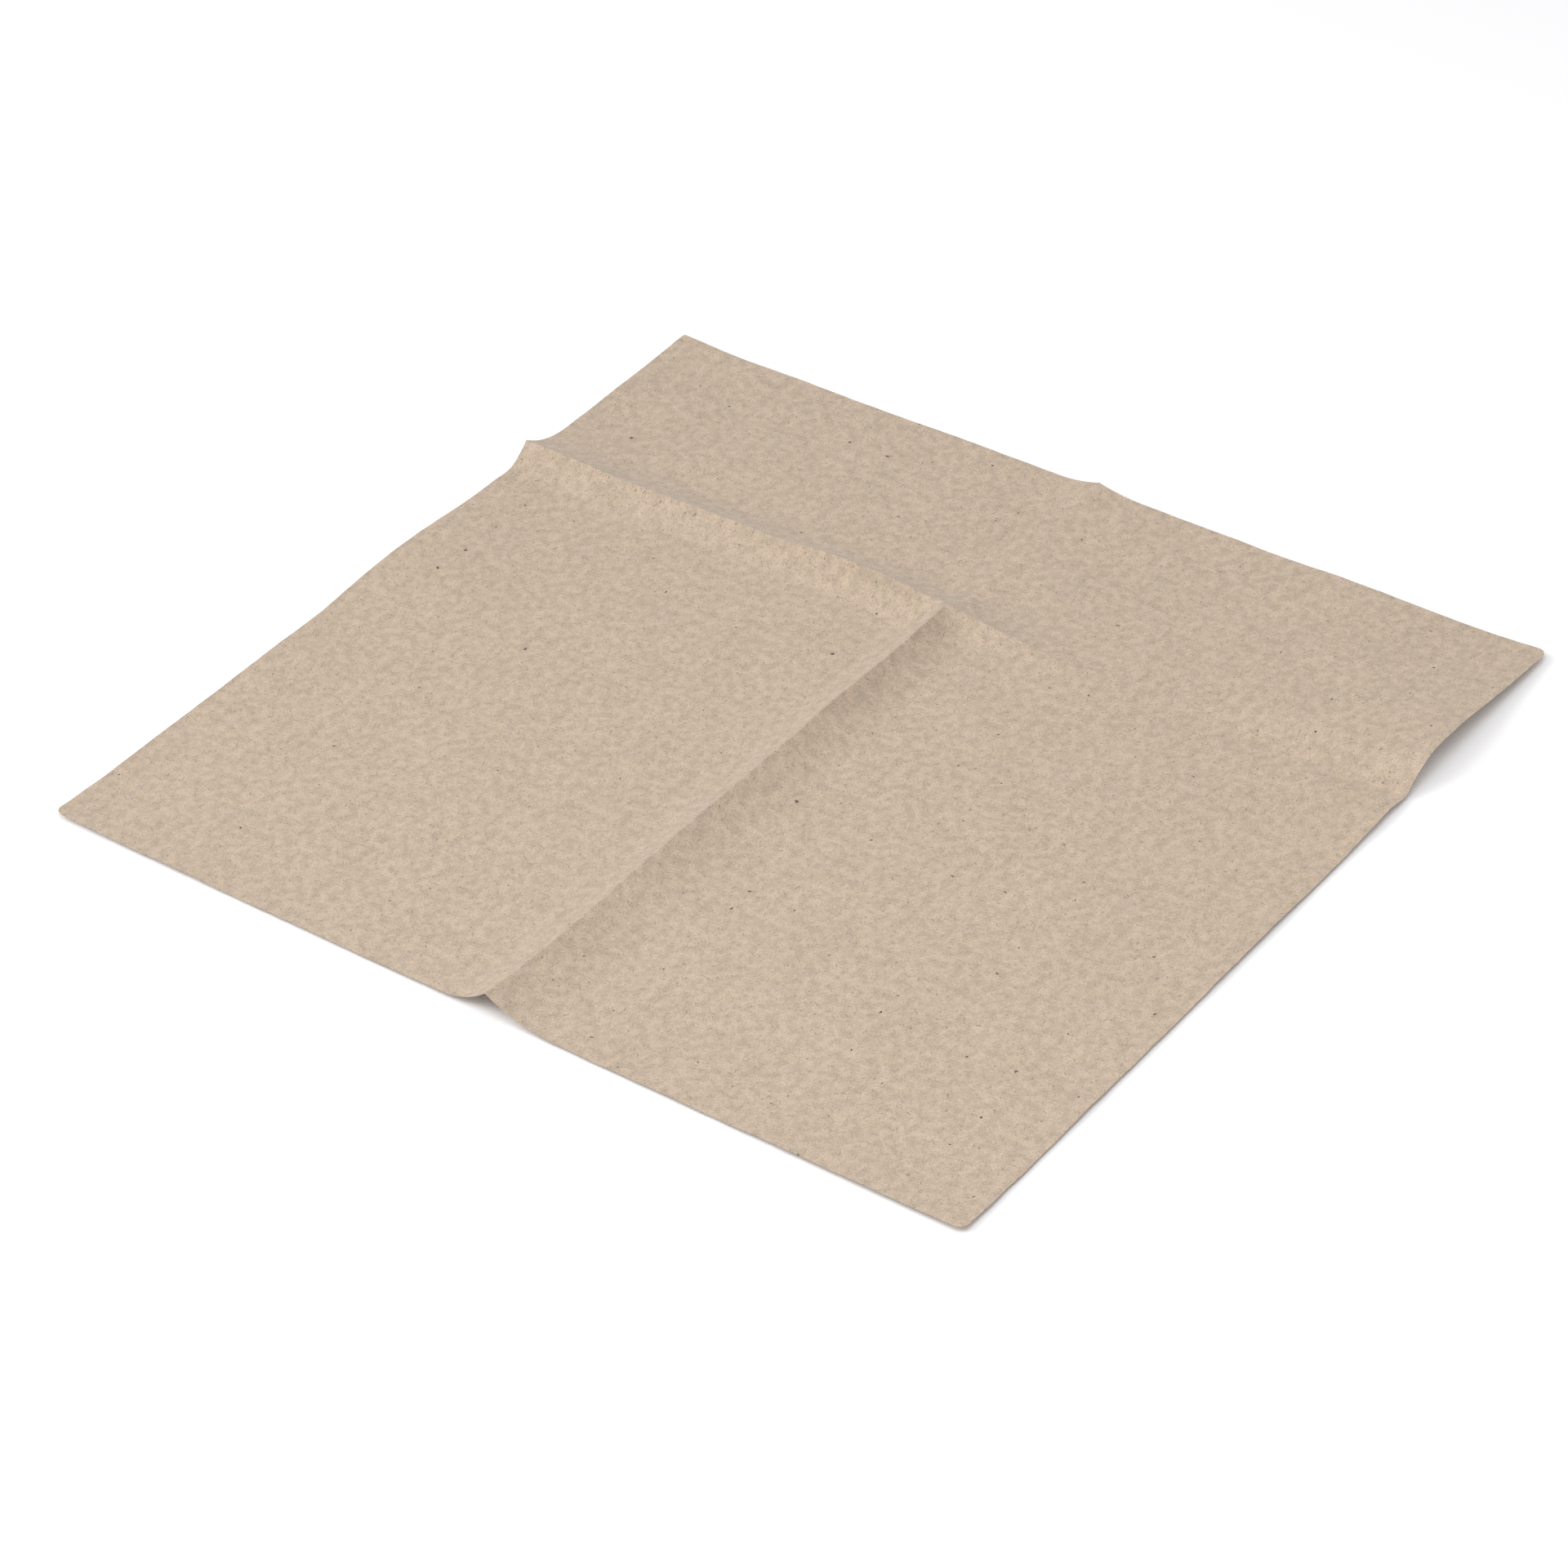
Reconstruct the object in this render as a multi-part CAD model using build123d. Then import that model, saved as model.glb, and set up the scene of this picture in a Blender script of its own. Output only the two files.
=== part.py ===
from build123d import *
import os
from math import comb

import numpy as np

# A single-ply unbleached tissue napkin, folded twice, opened out again and laid on a table.
# One sheet of paper, so one solid. Millimetres, +Z up. The long side runs along X and the first fold
# along Y. The origin is the bottom centre of the sheet, in the plane that it rests on.
# Places on the sheet are given as x from its left edge and y from its front edge.

# The cut sheet
sheet_width = 330.0
sheet_depth = 305.0
paper_thickness = 0.2

# First fold: a ridge from the front edge to the back edge
first_fold_x = 166.5
first_fold_front_height = 6.5
first_fold_flank = 16.0
first_fold_tail_height = 2.4
first_fold_tail_length = 20.0

# Second fold: a ridge left of the first fold and a valley right of it
second_fold_y = 222.5
second_fold_left_height = 6.2
second_fold_front_flank = 12.0
second_fold_back_flank = 18.0
crossing_height = 6.8
crossing_run_out = 78.0

# The left ridge swells just before it meets the first fold
swell_height = 2.2
swell_half_length = 36.0

# Banks: the paper standing up either side of the valley, highest at the right edge
valley_start_x = 212.0
back_bank_height = 7.0
back_bank_rise = 17.0
front_bank_height = 1.3
front_bank_rise = 10.0
front_bank_fall = 25.0
right_edge_lean = 1.0

# The cut edges lift off the table, and the left one has a slack wave
edge_lift = 1.0
edge_lift_reach = 30.0
edge_wave_y = 156.0
edge_wave_height = 2.2
edge_wave_half_length = 42.0
edge_wave_reach = 70.0

patch_degree = 4


def fade(distance, reach):
    """Fall from 1 at no distance to 0 at the reach, steepest at the start as beside a sharp crease."""
    return (1 - distance / reach) ** 2 if distance < reach else 0.0


def swell(distance, reach):
    """Rise smoothly from 0 at one reach to 1 in the middle and back to 0 at the other."""
    return (1 - (distance / reach) ** 2) ** 2 if abs(distance) < reach else 0.0


def bank(distance, rise, fall):
    """Climb from 0 at the valley to 1 at the crest, then run back down to 0."""
    if distance < rise:
        climb = distance / rise
        return climb * (3 - climb**2) / 2
    descent = (distance - rise) / fall
    return (1 - descent) * (1 + descent - descent**2) if descent < 1 else 0.0


def first_crease_height(y):
    """Height of the first fold's crease."""
    if y < second_fold_y:
        return first_fold_front_height + (crossing_height - first_fold_front_height) * y / second_fold_y
    tail = first_fold_tail_height * fade(sheet_depth - y, first_fold_tail_length)
    return tail + crossing_height * fade(y - second_fold_y, second_fold_back_flank)


def second_crease_height(x):
    """Height of the second fold's crease: a ridge on the left that runs out into the valley."""
    if x > first_fold_x:
        return crossing_height * fade(x - first_fold_x, crossing_run_out)
    level = second_fold_left_height + (crossing_height - second_fold_left_height) * x / first_fold_x
    return level + swell_height * swell(x - (first_fold_x - swell_half_length), swell_half_length)


def fold_height(x, y):
    """Height given by the two folds, true to both creases where they cross."""
    second_flank = second_fold_front_flank if y < second_fold_y else second_fold_back_flank
    beside_first = fade(abs(x - first_fold_x), first_fold_flank)
    beside_second = fade(abs(y - second_fold_y), second_flank)
    return (
        first_crease_height(y) * beside_first
        + second_crease_height(x) * beside_second
        - crossing_height * beside_first * beside_second
    )


def bank_height(x, y):
    """Height of the banks beside the valley."""
    growth = max(0.0, (x - valley_start_x) / (sheet_width - valley_start_x)) ** 2
    if y < second_fold_y:
        return growth * front_bank_height * bank(second_fold_y - y, front_bank_rise, front_bank_fall)
    back_bank_fall = sheet_depth - second_fold_y - back_bank_rise
    return growth * back_bank_height * bank(y - second_fold_y, back_bank_rise, back_bank_fall)


def edge_height(x, y):
    """Height given by the lift of the cut edges, twice as much at a corner, and by the left edge's wave."""
    wave = edge_wave_height * swell(x, edge_wave_reach) * swell(y - edge_wave_y, edge_wave_half_length)
    to_side = min(x, sheet_width - x)
    to_end = min(y, sheet_depth - y)
    return wave + edge_lift * (fade(to_side, edge_lift_reach) + fade(to_end, edge_lift_reach))


def underside(x, y):
    """Point of the underside, in the part's frame, for a place on the sheet."""
    right_share = max(0.0, (x - first_fold_x) / (sheet_width - first_fold_x))
    back_share = max(0.0, (y - second_fold_y) / (sheet_depth - second_fold_y))
    return (
        x - sheet_width / 2 - right_edge_lean * right_share * back_share,
        y - sheet_depth / 2,
        fold_height(x, y) + bank_height(x, y) + edge_height(x, y),
    )


def grid_lines(places, size):
    """The places inside a side where a feature starts or ends, with the side's own two ends."""
    inside = {round(place, 6) for place in places if 0 < place < size}
    return sorted(inside | {0.0, size})


def pole_matrix(degree):
    """Matrix that turns evenly spaced points of a polynomial into its Bezier control points."""
    steps = np.linspace(0, 1, degree + 1)
    rows = [[comb(degree, i) * s**i * (1 - s) ** (degree - i) for i in range(degree + 1)] for s in steps]
    return np.linalg.inv(np.array(rows))


def patch_poles(x_span, y_span):
    """Control points of the underside between two grid lines each way."""
    xs = np.linspace(*x_span, patch_degree + 1)
    ys = np.linspace(*y_span, patch_degree + 1)
    points = np.array([[underside(x, y) for y in ys] for x in xs])
    matrix = pole_matrix(patch_degree)
    return np.einsum("ia,abk,jb->ijk", matrix, points, matrix)


def patch_face(poles, lift):
    """Face of one patch: flat where it lies on the table, and a Bezier surface elsewhere."""
    raised = poles + np.array([0, 0, lift])
    if np.abs(poles[:, :, 2]).max() < 1e-9:
        corners = [raised[0, 0], raised[-1, 0], raised[-1, -1], raised[0, -1]]
        return Face(Wire.make_polygon([tuple(corner) for corner in corners], close=True))
    return Face.make_bezier_surface([[Vector(*pole) for pole in row] for row in raised])


def rim_face(poles):
    """Upright face of the cut edge, from the underside's border up by the paper's thickness."""
    low = [Vector(*pole) for pole in poles]
    high = [pole + Vector(0, 0, paper_thickness) for pole in low]
    ends = [Edge.make_line(low[0], high[0]), Edge.make_line(low[-1], high[-1])]
    return Face(Wire([Edge.make_bezier(*low), ends[1], Edge.make_bezier(*high), ends[0]]))


def make_napkin():
    """The whole sheet as one closed solid of even thickness."""
    x_lines = grid_lines(
        [
            first_fold_x,
            first_fold_x - first_fold_flank,
            first_fold_x + first_fold_flank,
            first_fold_x + crossing_run_out,
            first_fold_x - 2 * swell_half_length,
            valley_start_x,
            edge_wave_reach,
            edge_lift_reach,
            sheet_width - edge_lift_reach,
        ],
        sheet_width,
    )
    y_lines = grid_lines(
        [
            second_fold_y,
            second_fold_y - second_fold_front_flank,
            second_fold_y + second_fold_back_flank,
            second_fold_y + back_bank_rise,
            second_fold_y - front_bank_rise,
            second_fold_y - front_bank_rise - front_bank_fall,
            sheet_depth - first_fold_tail_length,
            edge_wave_y - edge_wave_half_length,
            edge_wave_y + edge_wave_half_length,
            edge_lift_reach,
            sheet_depth - edge_lift_reach,
        ],
        sheet_depth,
    )
    x_spans = list(zip(x_lines, x_lines[1:]))
    y_spans = list(zip(y_lines, y_lines[1:]))
    patches = [[patch_poles(x_span, y_span) for y_span in y_spans] for x_span in x_spans]
    faces = [patch_face(poles, lift) for row in patches for poles in row for lift in (0, paper_thickness)]
    faces += [rim_face(poles[0]) for poles in patches[0]]
    faces += [rim_face(poles[-1]) for poles in patches[-1]]
    faces += [rim_face(row[0][:, 0]) for row in patches]
    faces += [rim_face(row[-1][:, -1]) for row in patches]
    return Solid(Shell(faces)).clean()


napkin = make_napkin()
napkin.label = "napkin"

os.makedirs("parts", exist_ok=True)
export_step(napkin, "parts/napkin.step")
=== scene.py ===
"""A paper napkin: one sheet of unbleached tissue, folded twice, opened out again and laid on a table.

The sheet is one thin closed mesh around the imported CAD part, in metres and in the part's own frame:
the origin is the bottom centre, +X runs along the front edge and +Y from the front edge to the back.
Places on the sheet are given as x from its left edge and y from its front edge.
"""

import logging
import math
from dataclasses import dataclass, field
from enum import Enum

import bpy
import numpy as np
from mathutils import Matrix, Vector


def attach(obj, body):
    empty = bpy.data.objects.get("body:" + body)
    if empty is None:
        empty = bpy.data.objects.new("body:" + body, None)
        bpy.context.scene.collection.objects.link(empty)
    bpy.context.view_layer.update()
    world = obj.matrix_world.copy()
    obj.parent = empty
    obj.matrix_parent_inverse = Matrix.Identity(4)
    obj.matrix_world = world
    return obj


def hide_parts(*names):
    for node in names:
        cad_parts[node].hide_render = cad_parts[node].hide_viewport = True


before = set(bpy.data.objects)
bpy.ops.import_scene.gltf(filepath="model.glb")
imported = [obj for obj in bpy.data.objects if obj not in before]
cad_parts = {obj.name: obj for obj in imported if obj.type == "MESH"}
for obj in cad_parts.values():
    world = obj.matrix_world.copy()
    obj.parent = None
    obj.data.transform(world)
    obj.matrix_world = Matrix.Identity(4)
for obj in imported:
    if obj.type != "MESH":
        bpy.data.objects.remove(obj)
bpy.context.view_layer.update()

log = logging.getLogger("paper_napkin")

MM = 0.001

# How far before the crossing a crease's wander in height starts to die out
STEADY_REACH = 30 * MM

# How far to a crease's sides its wander in plan carries the paper with it
CREASE_REACH = 14 * MM

# The shortest and longest waves of a wander, as shares of its length
WAVE_LENGTHS = (0.6, 2.2)

Array = np.ndarray
Colour = tuple[float, float, float]


def fade(distance: Array, reach: Array | float, sharpness: Array | float = 2.0) -> Array:
    """Fall from 1 at no distance to 0 at the reach, steepest at the start as beside a sharp crease.

    Args:
        distance: How far each point is from the crease.
        reach: The distance at which the height is gone.
        sharpness: How much of the fall is next to the crease; 1 is a straight slope.

    Returns:
        The share of the crease's height that is left at each point.
    """
    return np.clip(1 - distance / reach, 0, None) ** sharpness


def swell(distance: Array, reach: float) -> Array:
    """Rise smoothly from 0 at one reach to 1 in the middle and back to 0 at the other.

    Args:
        distance: Signed distance of each point from the middle.
        reach: Half the length of the swell.

    Returns:
        The share of the swell's full height at each point.
    """
    return np.clip(1 - (distance / reach) ** 2, 0, None) ** 2


def bank(distance: Array, rise: float, fall: float) -> Array:
    """Climb from 0 at the valley to 1 at the crest, then run back down to 0.

    Args:
        distance: Distance of each point from the valley, at least 0.
        rise: Distance from the valley to the crest.
        fall: Distance from the crest to where the bank ends.

    Returns:
        The share of the bank's full height at each point.
    """
    climb = np.clip(distance / rise, 0, 1)
    descent = np.clip((distance - rise) / fall, 0, 1)
    upward = climb * (3 - climb**2) / 2
    downward = (1 - descent) * (1 + descent - descent**2)
    return np.where(distance < rise, upward, downward)


def blend(start: float, end: float, share: Array) -> Array:
    """Go from one value to another as the share goes from 0 to 1, easing in and out.

    Args:
        start: Value where the share is 0 or less.
        end: Value where the share is 1 or more.
        share: How far along each point is.

    Returns:
        The value at each point.
    """
    held = np.clip(share, 0, 1)
    return start + (end - start) * held**2 * (3 - 2 * held)


def outward(azimuth: float, elevation: float) -> Vector:
    """Direction from the middle of the table to something that stands round it.

    Args:
        azimuth: Turn in degrees from the front, towards the right.
        elevation: Rise in degrees above the table.

    Returns:
        The direction, one unit long.
    """
    turn, rise = math.radians(azimuth), math.radians(elevation)
    return Vector(
        (math.sin(turn) * math.cos(rise), -math.cos(turn) * math.cos(rise), math.sin(rise))
    )


@dataclass(frozen=True)
class Wander:
    """A smooth irregular drift, made of a few waves of different lengths, the same each time."""

    amount: float
    length: float
    seed: int
    waves: int = 9

    def along(self, place: Array) -> Array:
        """Drift of a line at each place along it.

        Args:
            place: Distance along the line.

        Returns:
            The drift at each place, mostly within the amount.
        """
        draw = np.random.default_rng(self.seed)
        drift = np.zeros_like(place)
        for _ in range(self.waves):
            turns = 2 * math.pi / (self.length * draw.uniform(*WAVE_LENGTHS))
            drift += np.sin(turns * place + draw.uniform(0, 2 * math.pi))
        return self.amount * drift / math.sqrt(self.waves)

    def over(self, x: Array, y: Array) -> Array:
        """Drift of a surface at each place on it.

        Args:
            x: Distance from the left edge.
            y: Distance from the front edge.

        Returns:
            The drift at each place, mostly within the amount.
        """
        draw = np.random.default_rng(self.seed)
        drift = np.zeros_like(x)
        for _ in range(2 * self.waves):
            heading = draw.uniform(0, math.pi)
            turns = 2 * math.pi / (self.length * draw.uniform(*WAVE_LENGTHS))
            along = math.cos(heading) * x + math.sin(heading) * y
            drift += np.sin(turns * along + draw.uniform(0, 2 * math.pi))
        return self.amount * drift / math.sqrt(2 * self.waves)


@dataclass(frozen=True)
class CutSheet:
    """The sheet as it was cut, before it was folded."""

    width: float = 330 * MM
    depth: float = 305 * MM
    thickness: float = 0.2 * MM
    front_left_round: float = 3.0 * MM
    front_right_round: float = 2.6 * MM
    back_left_round: float = 1.0 * MM
    back_right_round: float = 3.2 * MM
    cut_wander: Wander = Wander(amount=0.05 * MM, length=8 * MM, seed=21)
    cut_wander_reach: float = 3 * MM

    def rounded(self, x: Array, y: Array) -> tuple[Array, Array]:
        """Draw the points near each corner in, so that the corner is blunt.

        Args:
            x: Distance of each point from the left edge.
            y: Distance of each point from the front edge.

        Returns:
            The points' new distances from the left and front edges.
        """
        corners = (
            (0, 0, self.front_left_round),
            (1, 0, self.front_right_round),
            (0, 1, self.back_left_round),
            (1, 1, self.back_right_round),
        )
        new_x, new_y = x.copy(), y.copy()
        for right, back, radius in corners:
            to_side = self.width - x if right else x
            to_end = self.depth - y if back else y
            u = np.clip(radius - to_side, 0, None)
            v = np.clip(radius - to_end, 0, None)
            both = (u > 0) & (v > 0)
            pull = np.where(both, np.maximum(u, v) / np.hypot(u, v, where=both, out=np.ones_like(u)), 1)
            new_x += np.where(both, (1 - pull) * u, 0) * (-1 if right else 1)
            new_y += np.where(both, (1 - pull) * v, 0) * (-1 if back else 1)
        return new_x, new_y

    def trimmed(self, x: Array, y: Array) -> tuple[Array, Array]:
        """Let the cut edges wander a little, as a blade leaves them in soft paper.

        Args:
            x: Distance of each point from the left edge.
            y: Distance of each point from the front edge.

        Returns:
            The points' new distances from the left and front edges.
        """
        reach = self.cut_wander_reach
        left, right = fade(x, reach), fade(self.width - x, reach)
        front, back = fade(y, reach), fade(self.depth - y, reach)
        along_x, along_y = self.cut_wander.along(x), self.cut_wander.along(y + self.width)
        return x + along_y * (left - right), y + along_x * (front - back)


@dataclass(frozen=True)
class FirstFold:
    """The ridge from the front edge to the back edge, high in front of the crossing and low behind it."""

    x: float = 166.5 * MM
    front_height: float = 6.5 * MM
    crossing_height: float = 6.8 * MM
    left_flank: float = 16 * MM
    right_flank_front: float = 22 * MM
    right_flank_crossing: float = 18 * MM
    right_sharpness_front: float = 2.0
    right_sharpness_crossing: float = 3.4
    tail_height: float = 2.4 * MM
    tail_length: float = 20 * MM
    back_height: float = 1.1 * MM
    back_fall_start: float = 40 * MM
    back_fall_length: float = 60 * MM
    plan_wander: Wander = Wander(amount=0.16 * MM, length=70 * MM, seed=3)
    height_wander: Wander = Wander(amount=0.22 * MM, length=60 * MM, seed=8)


@dataclass(frozen=True)
class SecondFold:
    """The ridge left of the first fold, which runs out into a valley right of it."""

    y: float = 222.5 * MM
    left_height: float = 6.2 * MM
    front_flank: float = 12 * MM
    back_flank: float = 18 * MM
    run_out: float = 78 * MM
    swell_height: float = 2.2 * MM
    swell_half_length: float = 36 * MM
    plan_wander: Wander = Wander(amount=0.16 * MM, length=55 * MM, seed=5)
    height_wander: Wander = Wander(amount=0.2 * MM, length=40 * MM, seed=13)


@dataclass(frozen=True)
class ValleyBanks:
    """The paper that stands up either side of the valley, highest at the right edge."""

    start_x: float = 212 * MM
    back_height: float = 7.0 * MM
    back_rise: float = 17 * MM
    front_height: float = 1.3 * MM
    front_rise: float = 10 * MM
    front_fall: float = 25 * MM
    edge_lean: float = 1.0 * MM


@dataclass(frozen=True)
class CutEdges:
    """How the cut edges lift off the table, with a slack wave in the left one."""

    lift: float = 1.0 * MM
    lift_reach: float = 30 * MM
    wave_y: float = 156 * MM
    wave_height: float = 2.2 * MM
    wave_half_length: float = 42 * MM
    wave_reach: float = 70 * MM


@dataclass(frozen=True)
class Cockle:
    """The slight unevenness of the panels between the folds."""

    broad: Wander = Wander(amount=0.22 * MM, length=48 * MM, seed=31)
    fine: Wander = Wander(amount=0.04 * MM, length=12 * MM, seed=47)
    bump_x: float = 262 * MM
    bump_y: float = 52 * MM
    bump_height: float = 0.9 * MM
    bump_half_width: float = 16 * MM
    bump_half_length: float = 60 * MM


@dataclass(frozen=True)
class Weave:
    """How closely the mesh's rows are set: fine beside a crease and wide in the panels."""

    finest: float = 0.3 * MM
    widest: float = 2.3 * MM
    growth: float = 1.16
    edge_step: float = 0.6 * MM

    def run(self, start: float, end: float, first: float, last: float) -> list[float]:
        """Places from one line to another, set closer at the two ends.

        Args:
            start: The line at which the run starts.
            end: The line at which it ends.
            first: Step wanted at the start.
            last: Step wanted at the end.

        Returns:
            The places, from the start to just before the end.
        """
        length = end - start
        places, place = [0.0], 0.0
        while place < length:
            from_start = first * self.growth ** (len(places) - 1)
            from_end = last + (self.growth - 1) * (length - place)
            place += min(from_start, from_end, self.widest)
            places.append(place)
        scaled = np.array(places) * length / places[-1]
        return list(start + scaled[:-1])


@dataclass
class Napkin:
    """The whole sheet, folded and laid down."""

    sheet: CutSheet = field(default_factory=CutSheet)
    first: FirstFold = field(default_factory=FirstFold)
    second: SecondFold = field(default_factory=SecondFold)
    banks: ValleyBanks = field(default_factory=ValleyBanks)
    edges: CutEdges = field(default_factory=CutEdges)
    cockle: Cockle = field(default_factory=Cockle)
    weave: Weave = field(default_factory=Weave)

    def first_crease_height(self, y: Array) -> Array:
        """Height of the first fold's crease.

        Args:
            y: Distance of each point from the front edge.

        Returns:
            The crease's height beside each point.
        """
        fold, across = self.first, self.second
        level = fold.front_height + (fold.crossing_height - fold.front_height) * y / across.y
        wandering = fold.height_wander.along(y) * np.clip((across.y - y) / STEADY_REACH, 0, 1)
        tail = fold.tail_height * fade(self.sheet.depth - y, fold.tail_length)
        behind = y - across.y
        low = fold.back_height * np.clip(behind / across.back_flank, 0, 1)
        low *= blend(1, 0, (behind - fold.back_fall_start) / fold.back_fall_length)
        back = tail + low + fold.crossing_height * fade(np.clip(behind, 0, None), across.back_flank)
        return np.where(y < across.y, level + wandering, back)

    def second_crease_height(self, x: Array) -> Array:
        """Height of the second fold's crease: a ridge on the left that runs out into the valley.

        Args:
            x: Distance of each point from the left edge.

        Returns:
            The crease's height beside each point.
        """
        fold, across = self.second, self.first
        level = fold.left_height + (across.crossing_height - fold.left_height) * x / across.x
        wandering = fold.height_wander.along(x) * np.clip((across.x - x) / STEADY_REACH, 0, 1)
        swollen = fold.swell_height * swell(x - (across.x - fold.swell_half_length), fold.swell_half_length)
        right = across.crossing_height * fade(np.clip(x - across.x, 0, None), fold.run_out)
        return np.where(x < across.x, level + swollen + wandering, right)

    def fold_height(self, x: Array, y: Array) -> Array:
        """Height given by the two folds, true to both creases where they cross.

        Args:
            x: Distance of each point from the left edge.
            y: Distance of each point from the front edge.

        Returns:
            The height at each point.
        """
        first, second = self.first, self.second
        to_crossing = y / second.y
        right_reach = blend(first.right_flank_front, first.right_flank_crossing, to_crossing)
        right_sharpness = blend(
            first.right_sharpness_front, first.right_sharpness_crossing, (to_crossing - 0.5) * 2
        )
        on_right, in_front = x > first.x, y < second.y
        reach = np.where(on_right & in_front, right_reach, first.left_flank)
        sharpness = np.where(on_right & in_front, right_sharpness, 2.0)
        beside_first = fade(np.abs(x - first.x), reach, sharpness)
        second_reach = np.where(in_front, second.front_flank, second.back_flank)
        beside_second = fade(np.abs(y - second.y), second_reach)
        return (
            self.first_crease_height(y) * beside_first
            + self.second_crease_height(x) * beside_second
            - first.crossing_height * beside_first * beside_second
        )

    def bank_height(self, x: Array, y: Array) -> Array:
        """Height of the banks beside the valley.

        Args:
            x: Distance of each point from the left edge.
            y: Distance of each point from the front edge.

        Returns:
            The height at each point.
        """
        banks, valley = self.banks, self.second.y
        growth = np.clip((x - banks.start_x) / (self.sheet.width - banks.start_x), 0, None) ** 2
        front = banks.front_height * bank(np.clip(valley - y, 0, None), banks.front_rise, banks.front_fall)
        back_fall = self.sheet.depth - valley - banks.back_rise
        back = banks.back_height * bank(np.clip(y - valley, 0, None), banks.back_rise, back_fall)
        return growth * np.where(y < valley, front, back)

    def edge_height(self, x: Array, y: Array) -> Array:
        """Height given by the lift of the cut edges and by the left edge's wave.

        Args:
            x: Distance of each point from the left edge.
            y: Distance of each point from the front edge.

        Returns:
            The height at each point.
        """
        edges = self.edges
        along_edge = swell(y - edges.wave_y, edges.wave_half_length)
        wave = edges.wave_height * swell(x, edges.wave_reach) * along_edge
        to_side = np.minimum(x, self.sheet.width - x)
        to_end = np.minimum(y, self.sheet.depth - y)
        return wave + edges.lift * (fade(to_side, edges.lift_reach) + fade(to_end, edges.lift_reach))

    def cockle_height(self, x: Array, y: Array) -> Array:
        """Height given by the unevenness of the panels, with the soft bump in the front right one.

        Args:
            x: Distance of each point from the left edge.
            y: Distance of each point from the front edge.

        Returns:
            The height at each point, never below the table.
        """
        cockle = self.cockle
        uneven = cockle.broad.over(x, y) + cockle.fine.over(x, y)
        bump = cockle.bump_height * swell(x - cockle.bump_x, cockle.bump_half_width)
        bump = bump * swell(y - cockle.bump_y, cockle.bump_half_length)
        return np.clip(uneven + cockle.broad.amount, 0, None) + bump

    def underside(self, x: Array, y: Array) -> Array:
        """Points of the underside, in the part's frame, for places on the sheet.

        Args:
            x: Distance of each place from the left edge.
            y: Distance of each place from the front edge.

        Returns:
            The points, with their three coordinates along the last axis.
        """
        first, second, sheet = self.first, self.second, self.sheet
        height = self.fold_height(x, y) + self.bank_height(x, y) + self.edge_height(x, y)
        height = height + self.cockle_height(x, y)
        right_share = np.clip((x - first.x) / (sheet.width - first.x), 0, None)
        back_share = np.clip((y - second.y) / (sheet.depth - second.y), 0, None)
        drawn_x, drawn_y = sheet.rounded(x, y)
        drawn_x, drawn_y = sheet.trimmed(drawn_x, drawn_y)
        drift_x = first.plan_wander.along(y) * swell(x - first.x, CREASE_REACH)
        drift_y = second.plan_wander.along(x) * swell(y - second.y, CREASE_REACH)
        lean = self.banks.edge_lean * right_share * back_share
        return np.stack(
            [
                drawn_x + drift_x - lean - sheet.width / 2,
                drawn_y + drift_y - sheet.depth / 2,
                height,
            ],
            axis=-1,
        )

    def rows(self, crease: float, size: float) -> Array:
        """Places of the mesh's rows across the sheet one way.

        Args:
            crease: Place of the crease that the rows close up to.
            size: The sheet's size that way.

        Returns:
            The places, from one cut edge to the other.
        """
        weave = self.weave
        before = weave.run(0.0, crease, weave.edge_step, weave.finest)
        after = weave.run(crease, size, weave.finest, weave.edge_step)
        return np.array([*before, *after, size])

    def build(self) -> bpy.types.Object:
        """Build the sheet as one thin closed mesh.

        Returns:
            The sheet's object.
        """
        xs = self.rows(self.first.x, self.sheet.width)
        ys = self.rows(self.second.y, self.sheet.depth)
        x, y = np.meshgrid(xs, ys, indexing="ij")
        low = self.underside(x, y)
        high = low + np.array([0, 0, self.sheet.thickness])
        count = x.size
        number = np.arange(count).reshape(x.shape)
        quads = np.stack(
            [number[:-1, :-1], number[1:, :-1], number[1:, 1:], number[:-1, 1:]], axis=-1
        ).reshape(-1, 4)
        border = np.concatenate(
            [number[:-1, 0], number[-1, :-1], number[:0:-1, -1], number[0, :0:-1]]
        )
        following = np.roll(border, -1)
        rim = np.stack([border, following, following + count, border + count], axis=-1)
        faces = np.concatenate([quads[:, ::-1], quads + count, rim])
        points = np.concatenate([low.reshape(-1, 3), high.reshape(-1, 3)])
        mesh = bpy.data.meshes.new("napkin_sheet")
        mesh.from_pydata(points.tolist(), [], faces.tolist())
        mesh.validate()
        mesh.update()
        self.smooth(mesh, len(quads))
        piece = bpy.data.objects.new("napkin_sheet", mesh)
        bpy.context.scene.collection.objects.link(piece)
        return piece

    def smooth(self, mesh: bpy.types.Mesh, panel_faces: int) -> None:
        """Shade the paper smooth, with the cut rim left sharp.

        Args:
            mesh: The sheet's mesh.
            panel_faces: Number of faces on each side of the sheet.
        """
        mesh.polygons.foreach_set("use_smooth", np.ones(len(mesh.polygons), bool))
        rim_edges = set()
        for polygon in mesh.polygons[2 * panel_faces :]:
            rim_edges.update(tuple(sorted(key)) for key in polygon.edge_keys)
        sharp = mesh.attributes.new("sharp_edge", "BOOLEAN", "EDGE")
        values = [tuple(sorted(edge.vertices)) in rim_edges for edge in mesh.edges]
        sharp.data.foreach_set("value", values)

    def dress(self, piece: bpy.types.Object, finish: "KraftTissue") -> None:
        """Give the sheet its paper, and tell the frame what it stands for.

        Args:
            piece: The sheet's object.
            finish: The paper it is made of.
        """
        piece.data.materials.append(finish.material())
        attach(piece, "root")
        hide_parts("napkin")


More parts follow.
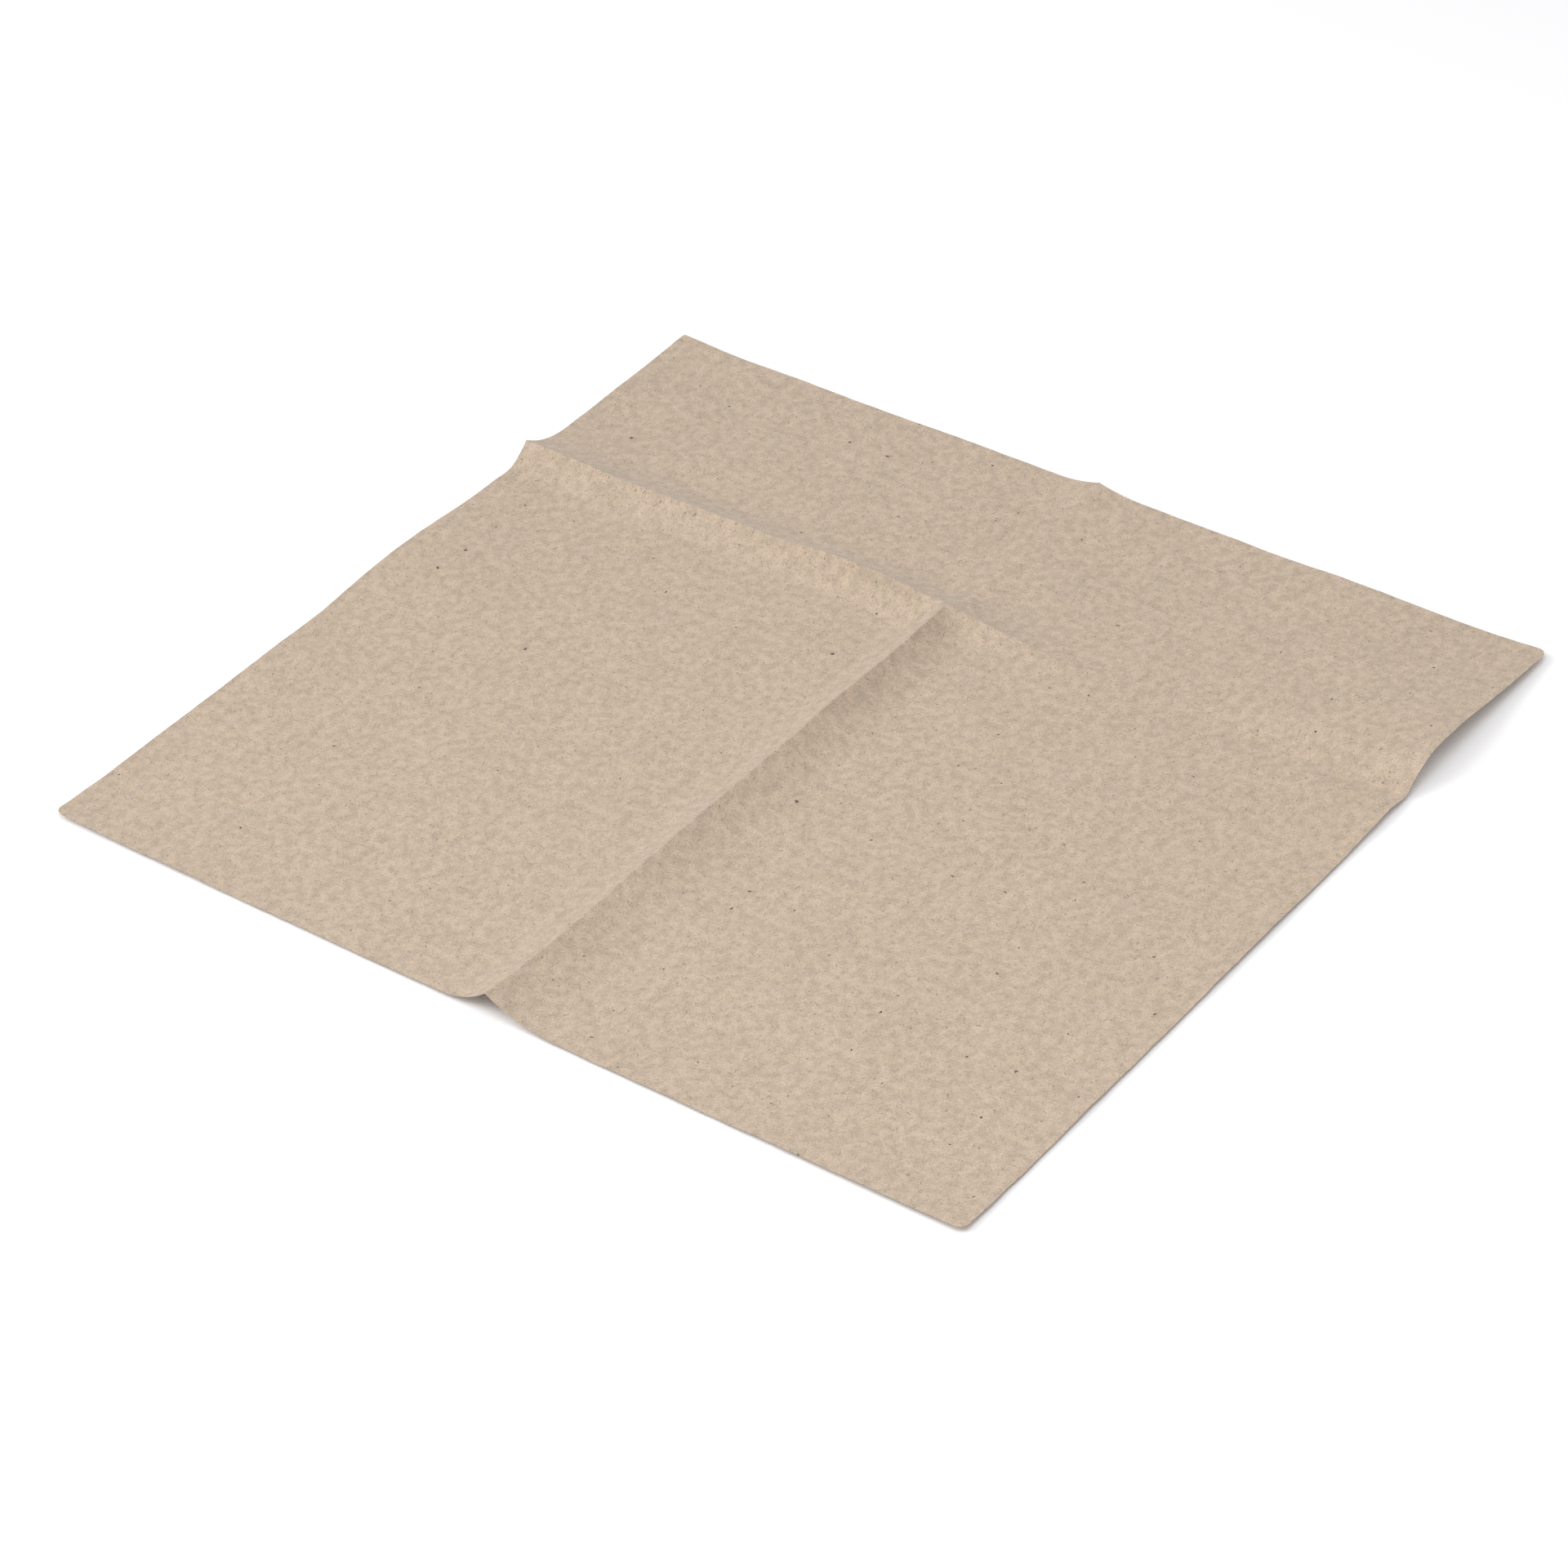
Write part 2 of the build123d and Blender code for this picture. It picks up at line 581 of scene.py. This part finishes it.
class Nodes:
    """Short ways to add and join the nodes of one tree."""

    def __init__(self, tree: bpy.types.NodeTree) -> None:
        """Keep the tree and clear what it came with.

        Args:
            tree: The tree to fill.
        """
        self.tree = tree
        self.tree.nodes.clear()

    def feed(self, socket: bpy.types.NodeSocket, value: object) -> None:
        """Join a socket to another one, or set its own value.

        Args:
            socket: The input to feed.
            value: An output socket, or a plain value.
        """
        if isinstance(value, bpy.types.NodeSocket):
            self.tree.links.new(value, socket)
        else:
            socket.default_value = value

    def add(self, kind: str, inputs: dict | None = None, **settings: object) -> bpy.types.Node:
        """Add a node.

        Args:
            kind: Blender's name for the node's type.
            inputs: What each input, by name or place, is fed with.
            **settings: The node's own settings.

        Returns:
            The new node.
        """
        node = self.tree.nodes.new(kind)
        for name, value in settings.items():
            setattr(node, name, value)
        for name, value in (inputs or {}).items():
            self.feed(node.inputs[name], value)
        return node

    def number(self, operation: str, *values: object) -> bpy.types.NodeSocket:
        """Work out a number from others.

        Args:
            operation: Blender's name for the operation.
            *values: Sockets or numbers.

        Returns:
            The socket that gives the result.
        """
        return self.add("ShaderNodeMath", dict(enumerate(values)), operation=operation).outputs[0]

    def vector(self, operation: str, *values: object) -> bpy.types.NodeSocket:
        """Work out a vector from others.

        Args:
            operation: Blender's name for the operation.
            *values: Sockets or triples.

        Returns:
            The socket that gives the result.
        """
        node = self.add("ShaderNodeVectorMath", dict(enumerate(values)), operation=operation)
        return node.outputs["Vector"]

    def ramp(
        self, value: object, low: float, high: float, start: float, end: float
    ) -> bpy.types.NodeSocket:
        """Turn one range of numbers smoothly into another.

        Args:
            value: The number to turn.
            low: Where the first range starts.
            high: Where the first range ends.
            start: Result at or before low.
            end: Result at or past high.

        Returns:
            The socket that gives the result.
        """
        inputs = {"Value": value, "From Min": low, "From Max": high, "To Min": start, "To Max": end}
        return self.add("ShaderNodeMapRange", inputs, interpolation_type="SMOOTHSTEP").outputs[0]

    def noise(self, place: object, clouds: "Clouds") -> bpy.types.Node:
        """Add a cloudy pattern.

        Args:
            place: Where on the sheet, in millimetres.
            clouds: How large and how rough the clouds are.

        Returns:
            The noise node.
        """
        inputs = {
            "Vector": place,
            "Scale": 1 / clouds.size,
            "Detail": clouds.detail,
            "Roughness": clouds.rough,
        }
        return self.add("ShaderNodeTexNoise", inputs, noise_dimensions="2D")

    def tint(self, base: object, colour: Colour, share: object) -> bpy.types.NodeSocket:
        """Lay a colour over another.

        Args:
            base: The colour underneath.
            colour: The colour laid over it.
            share: How much of it covers, from 0 to 1.

        Returns:
            The socket that gives the colour.
        """
        node = self.add("ShaderNodeMix", data_type="RGBA", blend_type="MIX")
        self.feed(node.inputs[0], share)
        self.feed(node.inputs[6], base)
        self.feed(node.inputs[7], (*colour, 1.0))
        return node.outputs[2]

    def multiplied(self, base: object, factor: object) -> bpy.types.NodeSocket:
        """Make a colour lighter or darker by a factor.

        Args:
            base: The colour.
            factor: How many times as light it becomes.

        Returns:
            The socket that gives the colour.
        """
        triple = self.add("ShaderNodeCombineXYZ", {0: factor, 1: factor, 2: factor}).outputs[0]
        return self.vector("MULTIPLY", base, triple)

    def directly_seen(self) -> bpy.types.NodeSocket:
        """Tell the rays that see a thing from those that carry its light.

        Returns:
            The socket that is 1 on a ray from the camera, a reflection or a transmission, and 0 elsewhere.
        """
        path = self.add("ShaderNodeLightPath").outputs
        seen = self.number("MAXIMUM", path["Is Camera Ray"], path["Is Glossy Ray"])
        return self.number("MAXIMUM", seen, path["Is Transmission Ray"])


class FibreKind(Enum):
    """The two kinds of strand that show in the pulp."""

    DARK = "dark"
    PALE = "pale"


@dataclass(frozen=True)
class Strands:
    """One scattering of short curly strands over the sheet, sizes in millimetres."""

    kind: FibreKind
    spacing: float
    length: float
    width: float
    share: float
    strength: float
    curl: float = 0.5
    offset: float = 0.0


@dataclass(frozen=True)
class Specks:
    """One scattering of specks of bark or ink over the sheet, sizes in millimetres."""

    spacing: float
    radius: float
    share: float
    strength: float
    offset: float = 0.0


@dataclass(frozen=True)
class Clouds:
    """One cloudy unevenness of the pulp, sizes in millimetres."""

    size: float
    detail: float = 1.0
    rough: float = 0.5
    darkest: float = 1.0
    lightest: float = 1.0


@dataclass(frozen=True)
class KraftTissue:
    """Unbleached recycled tissue: matt and soft, with cloudy pulp, strands and specks in it."""

    name: str = "kraft_tissue"
    base: Colour = (0.565, 0.450, 0.345)
    dark: Colour = (0.20, 0.145, 0.095)
    pale: Colour = (0.80, 0.70, 0.58)
    speck: Colour = (0.035, 0.028, 0.022)
    green: Colour = (0.560, 0.470, 0.330)
    pink: Colour = (0.580, 0.450, 0.370)
    hue_strength: float = 0.35
    flocks: Clouds = Clouds(size=3.2, detail=3.0, rough=0.62, darkest=0.87, lightest=1.12)
    patches: Clouds = Clouds(size=17.0, darkest=0.98, lightest=1.02)
    grain: Clouds = Clouds(size=0.55, detail=2.0, rough=0.6, darkest=0.86, lightest=1.12)
    hues: Clouds = Clouds(size=6.0, detail=2.0)
    curling: Clouds = Clouds(size=1.6)
    curling_reach: float = 1.5
    hue_shift: tuple[float, float, float] = (311.0, 97.0, 0.0)
    relief_depth: float = 0.08 * MM
    grain_relief: float = 0.5
    strand_relief: float = 0.6
    flock_relief: float = 0.8
    smoothest: float = 0.86
    roughest: float = 0.97
    gloss: float = 0.25
    sheen: float = 0.2
    sheen_roughness: float = 0.5
    strands: tuple[Strands, ...] = (
        Strands(FibreKind.DARK, spacing=2.6, length=2.0, width=0.16, share=0.42, strength=0.55),
        Strands(FibreKind.DARK, spacing=1.25, length=0.9, width=0.13, share=0.40, strength=0.5, offset=37),
        Strands(FibreKind.PALE, spacing=2.1, length=1.7, width=0.15, share=0.50, strength=0.42, offset=71),
    )
    specks: tuple[Specks, ...] = (
        Specks(spacing=3.4, radius=0.20, share=0.30, strength=0.45, offset=11),
        Specks(spacing=16.0, radius=0.32, share=0.35, strength=0.85, offset=53),
    )

    def strand_group(self) -> bpy.types.NodeTree:
        """Make the node group that draws one strand in each cell of a scattering.

        Returns:
            The group, with the strands' mask as its output.
        """
        tree = bpy.data.node_groups.new("pulp_strands", "ShaderNodeTree")
        for name, kind in (
            ("Place", "NodeSocketVector"),
            ("Spacing", "NodeSocketFloat"),
            ("Length", "NodeSocketFloat"),
            ("Width", "NodeSocketFloat"),
            ("Curl", "NodeSocketFloat"),
            ("Share", "NodeSocketFloat"),
        ):
            tree.interface.new_socket(name, in_out="INPUT", socket_type=kind)
        tree.interface.new_socket("Mask", in_out="OUTPUT", socket_type="NodeSocketFloat")
        make = Nodes(tree)
        given = make.add("NodeGroupInput").outputs
        scale = make.number("DIVIDE", 1.0, given["Spacing"])
        cell = make.add(
            "ShaderNodeTexVoronoi", {"Vector": given["Place"], "Scale": scale}, voronoi_dimensions="2D"
        )
        chance = make.add("ShaderNodeSeparateXYZ", {0: cell.outputs["Color"]}).outputs
        away = make.vector("SUBTRACT", given["Place"], cell.outputs["Position"])
        turned = make.add(
            "ShaderNodeVectorRotate",
            {"Vector": away, "Angle": make.number("MULTIPLY", chance[0], math.pi)},
            rotation_type="Z_AXIS",
        ).outputs[0]
        local = make.add("ShaderNodeSeparateXYZ", {0: turned}).outputs
        half_length = make.number("MULTIPLY", given["Length"], 0.5)
        along = make.number("DIVIDE", make.number("ABSOLUTE", local[0]), half_length)
        bend = make.number("MULTIPLY", make.number("SUBTRACT", chance[1], 0.5), given["Curl"])
        bow = make.number("MULTIPLY", bend, make.number("MULTIPLY", local[0], local[0]))
        bowed = make.number("ADD", local[1], bow)
        half_width = make.number("MULTIPLY", given["Width"], 0.5)
        across = make.number("DIVIDE", make.number("ABSOLUTE", bowed), half_width)
        body = make.ramp(across, 0.2, 1.3, 1.0, 0.0)
        ends = make.ramp(along, 0.5, 1.0, 1.0, 0.0)
        kept = make.number("LESS_THAN", chance[2], given["Share"])
        mask = make.number("MULTIPLY", make.number("MULTIPLY", body, ends), kept)
        make.add("NodeGroupOutput", {"Mask": mask})
        return tree

    def speck_mask(self, make: Nodes, place: object, specks: Specks) -> bpy.types.NodeSocket:
        """Add one scattering of specks.

        Args:
            make: The material's nodes.
            place: Where on the sheet, in millimetres.
            specks: The scattering's sizes.

        Returns:
            The socket that is 1 on a speck and 0 elsewhere.
        """
        shifted = make.vector("ADD", place, (specks.offset, -specks.offset, 0))
        inputs = {"Vector": shifted, "Scale": 1 / specks.spacing}
        cell = make.add("ShaderNodeTexVoronoi", inputs, voronoi_dimensions="2D")
        chance = make.add("ShaderNodeSeparateXYZ", {0: cell.outputs["Color"]}).outputs
        away = make.vector("SUBTRACT", shifted, cell.outputs["Position"])
        reach = make.add("ShaderNodeVectorMath", {0: away}, operation="LENGTH").outputs["Value"]
        radius = make.number("MULTIPLY", specks.radius, make.number("ADD", chance[1], 0.6))
        spot = make.ramp(make.number("DIVIDE", reach, radius), 0.55, 1.15, 1.0, 0.0)
        return make.number("MULTIPLY", spot, make.number("LESS_THAN", chance[0], specks.share))

    def material(self) -> bpy.types.Material:
        """Make the paper.

        Returns:
            The material.
        """
        material = bpy.data.materials.new(self.name)
        material.use_nodes = True
        make = Nodes(material.node_tree)
        coordinates = make.add("ShaderNodeTexCoord").outputs["Object"]
        place = make.vector("MULTIPLY", coordinates, (1 / MM, 1 / MM, 0.0))

        wobble = make.noise(place, self.curling).outputs["Color"]
        reach = (self.curling_reach, self.curling_reach, 0.0)
        drift = make.vector("MULTIPLY", make.vector("SUBTRACT", wobble, (0.5,) * 3), reach)
        curly = make.vector("ADD", place, drift)

        cloud = make.noise(place, self.flocks).outputs[0]
        patch = make.noise(place, self.patches).outputs[0]
        hue = make.noise(make.vector("ADD", place, self.hue_shift), self.hues).outputs[0]
        grain = make.noise(place, self.grain).outputs[0]

        colour = self.base
        for noise, clouds in ((cloud, self.flocks), (patch, self.patches), (grain, self.grain)):
            colour = make.multiplied(colour, make.ramp(noise, 0.25, 0.75, clouds.darkest, clouds.lightest))
        green = make.ramp(hue, 0.5, 0.8, 0.0, self.hue_strength)
        pink = make.ramp(hue, 0.5, 0.2, 0.0, self.hue_strength)
        colour = make.tint(colour, self.green, green)
        colour = make.tint(colour, self.pink, pink)

        group = self.strand_group()
        relief = make.number("MULTIPLY", grain, self.grain_relief)
        for layer in self.strands:
            shifted = make.vector("ADD", curly, (layer.offset, 1.7 * layer.offset, 0.0))
            strand = make.add("ShaderNodeGroup", node_tree=group)
            for name, value in (
                ("Place", shifted),
                ("Spacing", layer.spacing),
                ("Length", layer.length),
                ("Width", layer.width),
                ("Curl", layer.curl),
                ("Share", layer.share),
            ):
                make.feed(strand.inputs[name], value)
            mask = strand.outputs["Mask"]
            tone = self.dark if layer.kind is FibreKind.DARK else self.pale
            colour = make.tint(colour, tone, make.number("MULTIPLY", mask, layer.strength))
            relief = make.number("ADD", relief, make.number("MULTIPLY", mask, self.strand_relief))
        for layer in self.specks:
            mask = self.speck_mask(make, curly, layer)
            colour = make.tint(colour, self.speck, make.number("MULTIPLY", mask, layer.strength))

        relief = make.number("ADD", relief, make.number("MULTIPLY", cloud, self.flock_relief))
        bump = make.add(
            "ShaderNodeBump", {"Height": relief, "Strength": 1.0, "Distance": self.relief_depth}
        ).outputs[0]
        paper = make.add(
            "ShaderNodeBsdfPrincipled",
            {
                "Base Color": colour,
                "Roughness": make.ramp(cloud, 0.2, 0.8, self.smoothest, self.roughest),
                "Normal": bump,
                "Specular IOR Level": self.gloss,
                "Sheen Weight": self.sheen,
                "Sheen Roughness": self.sheen_roughness,
            },
        )
        make.add("ShaderNodeOutputMaterial", {"Surface": paper.outputs[0]})
        return material


@dataclass(frozen=True)
class Table:
    """The plain white table top that the napkin lies on."""

    size: float = 24.0
    drop: float = 0.05 * MM
    shade: Colour = (0.80, 0.80, 0.81)
    seen_gain: float = 1.16

    def material(self) -> bpy.types.Material:
        """Make the table's white, which the camera sees a little brighter so that only shadow shows on it.

        Returns:
            The material.
        """
        material = bpy.data.materials.new("table_white")
        material.use_nodes = True
        make = Nodes(material.node_tree)
        bright = tuple(self.seen_gain * part / self.shade[0] for part in self.shade)
        colour = make.tint((*self.shade, 1.0), bright, make.directly_seen())
        matt = make.add("ShaderNodeBsdfDiffuse", {"Color": colour})
        make.add("ShaderNodeOutputMaterial", {"Surface": matt.outputs[0]})
        return material

    def build(self) -> bpy.types.Object:
        """Build the table top just under the sheet.

        Returns:
            The table's object.
        """
        half = self.size / 2
        mesh = bpy.data.meshes.new("table_top")
        corners = [(-half, -half, -self.drop), (half, -half, -self.drop), (half, half, -self.drop)]
        mesh.from_pydata([*corners, (-half, half, -self.drop)], [], [(0, 1, 2, 3)])
        mesh.materials.append(self.material())
        table = bpy.data.objects.new("table_top", mesh)
        bpy.context.scene.collection.objects.link(table)
        return table


@dataclass(frozen=True)
class SoftLamp:
    """One square soft box, aimed at the middle of the table."""

    name: str
    azimuth: float
    elevation: float
    distance: float
    size: float
    watts: float

    def build(self) -> bpy.types.Object:
        """Hang the soft box.

        Returns:
            The lamp's object.
        """
        lamp = bpy.data.lights.new(self.name, "AREA")
        lamp.shape, lamp.size, lamp.energy = "SQUARE", self.size, self.watts
        towards = outward(self.azimuth, self.elevation)
        holder = bpy.data.objects.new(self.name, lamp)
        holder.location = towards * self.distance
        holder.rotation_euler = towards.to_track_quat("Z", "Y").to_euler()
        bpy.context.scene.collection.objects.link(holder)
        return holder


@dataclass(frozen=True)
class Studio:
    """The white tent round the table and the soft boxes in it."""

    sky: float = 0.57
    lamps: tuple[SoftLamp, ...] = (
        SoftLamp("key_box", azimuth=-48, elevation=38, distance=2.2, size=1.3, watts=19),
        SoftLamp("top_box", azimuth=40, elevation=66, distance=0.9, size=0.6, watts=2.4),
    )

    def world(self) -> bpy.types.World:
        """Make the tent: even white light from all round, and plain white where it is seen.

        Returns:
            The world.
        """
        world = bpy.data.worlds.new("white_tent")
        world.use_nodes = True
        make = Nodes(world.node_tree)
        shares = {0: make.directly_seen(), 2: self.sky, 3: 1.0}
        strength = make.add("ShaderNodeMix", shares, data_type="FLOAT")
        tent = make.add("ShaderNodeBackground", {"Color": (1, 1, 1, 1), "Strength": strength.outputs[0]})
        make.add("ShaderNodeOutputWorld", {"Surface": tent.outputs[0]})
        return world

    def build(self) -> None:
        """Put up the tent and hang its lamps."""
        bpy.context.scene.world = self.world()
        for lamp in self.lamps:
            lamp.build()
        bpy.context.scene.view_settings.view_transform = "Standard"


@dataclass(frozen=True)
class Viewpoint:
    """Where the camera stands: above the front right corner, looking down across the sheet."""

    target: tuple[float, float, float] = (7.7 * MM, -22.2 * MM, 0.0)
    azimuth: float = 39.38
    elevation: float = 37.62
    distance: float = 1.5243
    roll: float = -4.008
    lens: float = 118.62
    sensor_width: float = 36.0

    def build(self) -> bpy.types.Object:
        """Set up the camera and make it the scene's own.

        Returns:
            The camera's object.
        """
        towards = outward(self.azimuth, self.elevation)
        lens = bpy.data.cameras.new("table_camera")
        lens.lens, lens.sensor_width = self.lens, self.sensor_width
        camera = bpy.data.objects.new("table_camera", lens)
        upright = (-towards).to_track_quat("-Z", "Y").to_matrix()
        tilted = upright @ Matrix.Rotation(math.radians(self.roll), 3, "Z")
        camera.rotation_euler = tilted.to_euler()
        camera.location = Vector(self.target) + towards * self.distance
        bpy.context.scene.collection.objects.link(camera)
        bpy.context.scene.camera = camera
        return camera


def main() -> None:
    """Build the stage, the camera and the napkin, and report each piece."""
    logging.basicConfig(level=logging.INFO, format="%(name)s: %(message)s")
    Viewpoint().build()
    Studio().build()
    table = Table().build()
    log.info("%s is %.1f m across", table.name, table.dimensions.x)
    napkin = Napkin()
    piece = napkin.build()
    napkin.dress(piece, KraftTissue())
    log.info("%s has %d faces and rides root", piece.name, len(piece.data.polygons))


if __name__ == "__main__":
    main()
